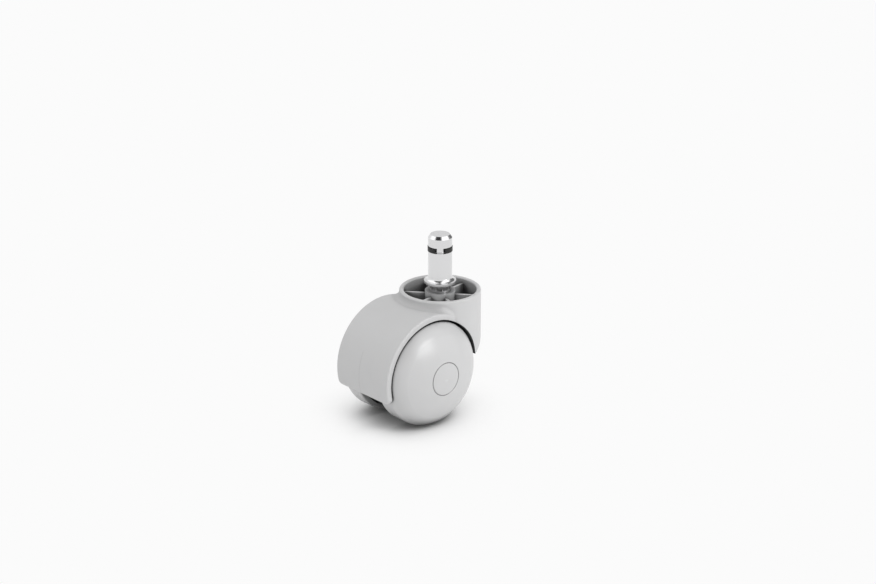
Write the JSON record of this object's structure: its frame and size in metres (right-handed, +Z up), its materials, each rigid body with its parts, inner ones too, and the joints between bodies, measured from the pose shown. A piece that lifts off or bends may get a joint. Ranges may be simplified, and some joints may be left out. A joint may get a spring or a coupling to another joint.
{
  "type": "furniture castor",
  "caption": "Hooded twin-wheel swivel castor with domed wheels, an open ribbed cup and an upright push-in stem held by a split grip ring.",
  "frame": {"origin": "on the stem's axis at the root of its parallel shank, where the flange's flare begins", "axes": "+Z up along the stem, +X the way the castor travels with its wheels trailing at -X, +Y to the left along the axle"},
  "size_m": [0.0664, 0.0528, 0.083],
  "materials": {
    "plated_steel": "bright plated, turned",
    "black_spring_steel": "black oxide, satin",
    "grey_housing": "moulded, fine satin texture",
    "grey_wheel": "moulded, smooth satin"
  },
  "bodies": {
    "stem": {"stem": "plated_steel", "grip_ring": "black_spring_steel", "retaining_ring": "black_spring_steel"},
    "housing": {"housing": "grey_housing", "axle": "plated_steel"},
    "wheel_left": {"wheel_left": "grey_wheel"},
    "wheel_right": {"wheel_right": "grey_wheel"}
  },
  "joints": [
    {"name": "swivel", "type": "hinge", "parent": "stem", "child": "housing", "pos_m": [0, 0, 0], "axis": [0, 0, 1], "continuous": true},
    {"name": "wheel_left_spin", "type": "hinge", "parent": "housing", "child": "wheel_left", "pos_m": [-0.0195, 0, -0.0377], "axis": [0, 1, 0], "continuous": true},
    {"name": "wheel_right_spin", "type": "hinge", "parent": "housing", "child": "wheel_right", "pos_m": [-0.0195, 0, -0.0377], "axis": [0, 1, 0], "continuous": true}
  ]
}
